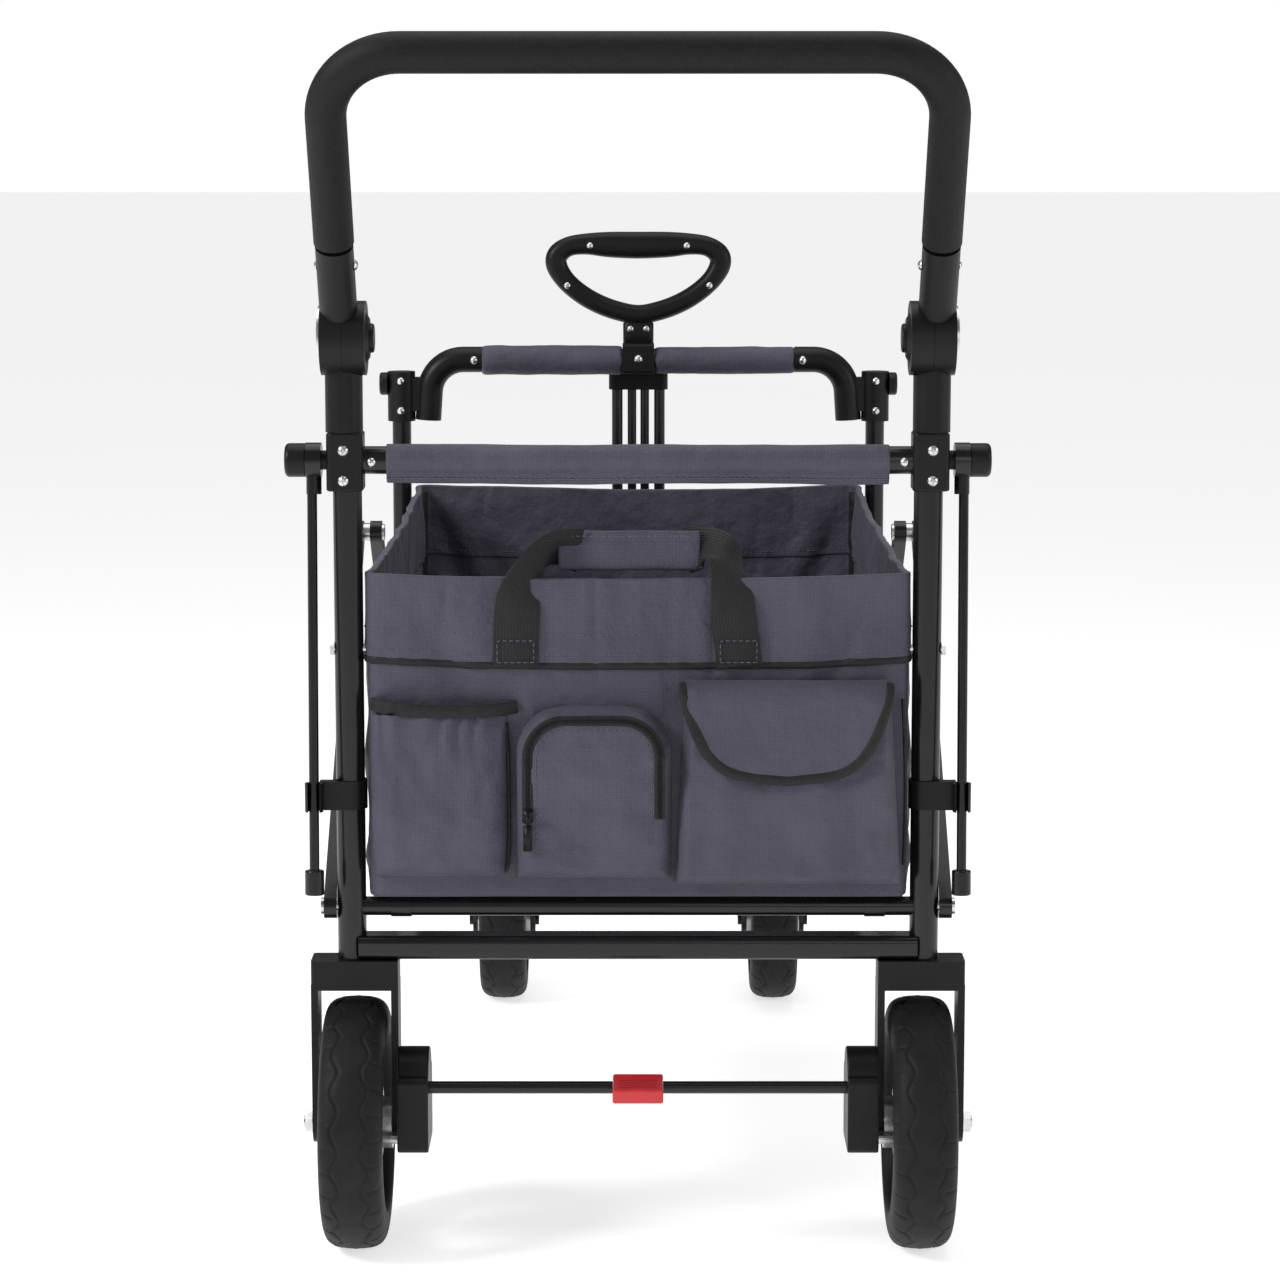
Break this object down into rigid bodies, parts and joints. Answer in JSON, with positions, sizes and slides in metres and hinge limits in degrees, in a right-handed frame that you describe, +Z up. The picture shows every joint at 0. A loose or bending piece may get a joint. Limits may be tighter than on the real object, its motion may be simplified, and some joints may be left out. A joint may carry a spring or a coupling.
{
  "type": "pull wagon",
  "caption": "folding push-pull wagon with a fabric basket on a tube frame, spoked rear wheels, swivelling front wheels, tilting push handle and telescoping pull handle",
  "frame": {"origin": "on the floor, in the middle of the wagon's footprint", "axes": "+X right seen from behind, +Y towards the wagon's front, +Z up"},
  "size_m": [0.581, 1.136, 1.0123],
  "materials": {
    "black_paint": "gloss powder coat",
    "black_plastic": "fine moulded grain",
    "steel": "zinc plated",
    "strut_paint": "black rod with plastic fittings",
    "red_plastic": "moulded",
    "rubber_tyre": "solid foamed tyre",
    "rim_plastic": "silver",
    "foam": "closed-cell foam grip",
    "blue_fabric": "coated oxford weave",
    "floor_fabric": "padded mat",
    "webbing": "polypropylene webbing"
  },
  "bodies": {
    "rear_frame": {"rear_post_tubes": "black_paint", "rear_cross_tubes": "black_paint", "rear_corner_connectors": "black_plastic", "strut_knobs": "black_plastic", "strut_clips": "black_plastic", "rear_wheel_forks": "black_plastic", "brake_housings": "black_plastic", "handle_joint_sockets": "black_plastic", "handle_joint_plates": "steel", "rear_axle_bolts": "steel", "rear_frame_fasteners": "steel", "basket_fabric": "blue_fabric", "basket_mat": "floor_fabric", "rear_crossbar_sleeve": "blue_fabric", "pocket_elastic": "blue_fabric", "pocket_zip": "blue_fabric", "pocket_flap": "blue_fabric", "carry_handle": "webbing"},
    "push_handle": {"handle_joint_hubs": "black_plastic", "push_handle_tube": "black_paint", "push_handle_foam": "foam", "push_handle_rivets": "steel"},
    "joint_button_left": {"joint_button_left": "black_plastic"},
    "joint_button_right": {"joint_button_right": "black_plastic"},
    "canopy_strut_left": {"canopy_strut_left": "strut_paint"},
    "canopy_strut_right": {"canopy_strut_right": "strut_paint"},
    "brake_pedal": {"brake_bar": "black_paint", "brake_pedal": "red_plastic"},
    "brake_pin_left": {"brake_pin_left": "steel"},
    "brake_pin_right": {"brake_pin_right": "steel"},
    "rear_wheel_left": {"rear_tyre_left": "rubber_tyre", "rear_rim_left": "rim_plastic"},
    "rear_wheel_right": {"rear_tyre_right": "rubber_tyre", "rear_rim_right": "rim_plastic"},
    "rear_side_links": {"rear_side_links": "black_paint", "side_link_rivets": "steel"},
    "front_side_links": {"front_side_links": "black_paint"},
    "front_frame": {"front_post_tubes": "black_paint", "front_cross_tubes": "black_paint", "front_rail_elbows": "black_plastic", "front_rail_sleeve": "blue_fabric", "caster_arms": "black_paint", "pull_handle_pivot": "black_paint", "pull_handle_catch": "black_plastic", "front_frame_fasteners": "steel"},
    "rear_floor_frame": {"rear_floor_frame": "black_paint"},
    "front_floor_frame": {"front_floor_frame": "black_paint"},
    "caster_left": {"caster_fork_left": "black_plastic"},
    "caster_right": {"caster_fork_right": "black_plastic"},
    "front_wheel_left": {"front_tyre_left": "rubber_tyre", "front_rim_left": "rim_plastic"},
    "front_wheel_right": {"front_tyre_right": "rubber_tyre", "front_rim_right": "rim_plastic"},
    "caster_lock_left": {"caster_lock_lever_left": "red_plastic"},
    "caster_lock_right": {"caster_lock_lever_right": "red_plastic"},
    "pull_handle": {"pull_handle_tubes": "black_paint", "pull_handle_guides": "black_plastic"},
    "pull_extension": {"pull_handle_rods": "black_paint", "pull_handle_grip": "black_plastic", "pull_grip_screws": "steel"}
  },
  "joints": [
    {"name": "fold", "type": "hinge", "parent": "rear_frame", "child": "rear_side_links", "pos_m": [0, -0.40298, 0.292], "axis": [1, 0, 0], "range_deg": [0, 42.8], "deforming": ["basket_fabric", "basket_mat"]},
    {"name": "front_link_fold", "type": "hinge", "parent": "rear_side_links", "child": "front_side_links", "pos_m": [0, -0.05878, 0.56769], "axis": [1, 0, 0], "range_deg": [-85.7, 0]},
    {"name": "front_frame_fold", "type": "hinge", "parent": "front_side_links", "child": "front_frame", "pos_m": [0, 0.28542, 0.292], "axis": [1, 0, 0], "range_deg": [0, 42.9]},
    {"name": "rear_floor_fold", "type": "hinge", "parent": "rear_frame", "child": "rear_floor_frame", "pos_m": [0, -0.40298, 0.292], "axis": [1, 0, 0], "range_deg": [0, 77.73]},
    {"name": "front_floor_fold", "type": "hinge", "parent": "front_frame", "child": "front_floor_frame", "pos_m": [0, 0.30702, 0.292], "axis": [1, 0, 0], "range_deg": [-77.73, 0]},
    {"name": "push_handle_tilt", "type": "hinge", "parent": "rear_frame", "child": "push_handle", "pos_m": [0, -0.40298, 0.767], "axis": [1, 0, 0], "range_deg": [-33, 85]},
    {"name": "button_left_press", "type": "slide", "parent": "push_handle", "child": "joint_button_left", "axis": [-1, 0, 0], "range_m": [0, 0.004], "stiffness_N_per_m": 500, "springref_m": -0.002},
    {"name": "button_right_press", "type": "slide", "parent": "push_handle", "child": "joint_button_right", "axis": [1, 0, 0], "range_m": [0, 0.004], "stiffness_N_per_m": 500, "springref_m": -0.002},
    {"name": "canopy_strut_left_swing", "type": "hinge", "parent": "rear_frame", "child": "canopy_strut_left", "pos_m": [-0.2685, -0.40298, 0.6667], "axis": [1, 0, 0], "range_deg": [-176, 0]},
    {"name": "canopy_strut_right_swing", "type": "hinge", "parent": "rear_frame", "child": "canopy_strut_right", "pos_m": [0.2685, -0.40298, 0.6667], "axis": [1, 0, 0], "range_deg": [-176, 0]},
    {"name": "brake_pedal_press", "type": "hinge", "parent": "rear_frame", "child": "brake_pedal", "pos_m": [0, -0.43298, 0.1437], "axis": [1, 0, 0], "range_deg": [0, 25]},
    {"name": "brake_pin_left_slide", "type": "slide", "parent": "rear_frame", "child": "brake_pin_left", "axis": [-1, 0, 0], "range_m": [0, 0.0081]},
    {"name": "brake_pin_right_slide", "type": "slide", "parent": "rear_frame", "child": "brake_pin_right", "axis": [1, 0, 0], "range_m": [0, 0.0081]},
    {"name": "rear_wheel_left_spin", "type": "hinge", "parent": "rear_frame", "child": "rear_wheel_left", "pos_m": [-0.237, -0.40298, 0.106], "axis": [1, 0, 0], "continuous": true},
    {"name": "rear_wheel_right_spin", "type": "hinge", "parent": "rear_frame", "child": "rear_wheel_right", "pos_m": [0.237, -0.40298, 0.106], "axis": [1, 0, 0], "continuous": true},
    {"name": "caster_left_swivel", "type": "hinge", "parent": "front_frame", "child": "caster_left", "pos_m": [-0.145, 0.44702, 0.178], "axis": [0, 0, 1], "continuous": true},
    {"name": "caster_right_swivel", "type": "hinge", "parent": "front_frame", "child": "caster_right", "pos_m": [0.145, 0.44702, 0.178], "axis": [0, 0, 1], "continuous": true},
    {"name": "front_wheel_left_spin", "type": "hinge", "parent": "caster_left", "child": "front_wheel_left", "pos_m": [-0.145, 0.48202, 0.086], "axis": [1, 0, 0], "continuous": true},
    {"name": "front_wheel_right_spin", "type": "hinge", "parent": "caster_right", "child": "front_wheel_right", "pos_m": [0.145, 0.48202, 0.086], "axis": [1, 0, 0], "continuous": true},
    {"name": "caster_lock_left_press", "type": "hinge", "parent": "caster_left", "child": "caster_lock_left", "pos_m": [-0.145, 0.44902, 0.136], "axis": [1, 0, 0], "range_deg": [0, 22]},
    {"name": "caster_lock_right_press", "type": "hinge", "parent": "caster_right", "child": "caster_lock_right", "pos_m": [0.145, 0.44902, 0.136], "axis": [1, 0, 0], "range_deg": [0, 22]},
    {"name": "pull_handle_tip", "type": "hinge", "parent": "front_frame", "child": "pull_handle", "pos_m": [0, 0.33202, 0.258], "axis": [1, 0, 0], "range_deg": [-78, 0]},
    {"name": "pull_handle_extend", "type": "slide", "parent": "pull_handle", "child": "pull_extension", "axis": [0, 0, 1], "range_m": [0, 0.3]}
  ],
  "couplings": [
    {"joint": "front_link_fold", "follows": "fold", "ratio": -2},
    {"joint": "front_frame_fold", "follows": "fold", "ratio": 1},
    {"joint": "rear_floor_fold", "follows": "fold", "ratio": 1.8139},
    {"joint": "front_floor_fold", "follows": "fold", "ratio": -1.8139},
    {"joint": "brake_pin_left_slide", "follows": "brake_pedal_press", "m_per_rad": 0.018335},
    {"joint": "brake_pin_right_slide", "follows": "brake_pedal_press", "m_per_rad": 0.018335}
  ]
}
